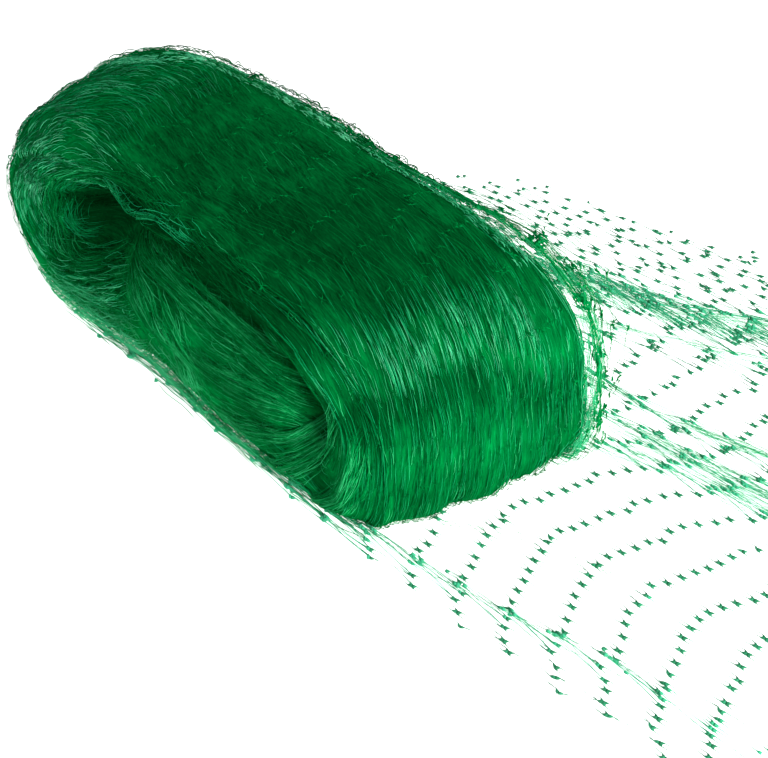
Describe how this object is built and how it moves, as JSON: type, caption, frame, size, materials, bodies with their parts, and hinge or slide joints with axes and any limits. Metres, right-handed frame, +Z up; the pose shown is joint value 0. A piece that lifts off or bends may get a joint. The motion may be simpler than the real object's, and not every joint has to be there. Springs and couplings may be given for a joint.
{
  "type": "bird netting roll",
  "caption": "Flattened roll of fine green bird netting lying on its side, its open mesh end pulled loose and spread beside and behind it.",
  "frame": {"origin": "middle of the flat patch on the underside that the roll rests on", "axes": "+X along the roll towards the free end of the net, +Z up; the spiral end of the roll faces -Y"},
  "size_m": [0.4262, 0.2635, 0.0861],
  "materials": {
    "net_green": "satin, slightly translucent"
  },
  "bodies": {
    "root": {"net_roll": "net_green", "loose_net": "net_green"}
  },
  "joints": []
}
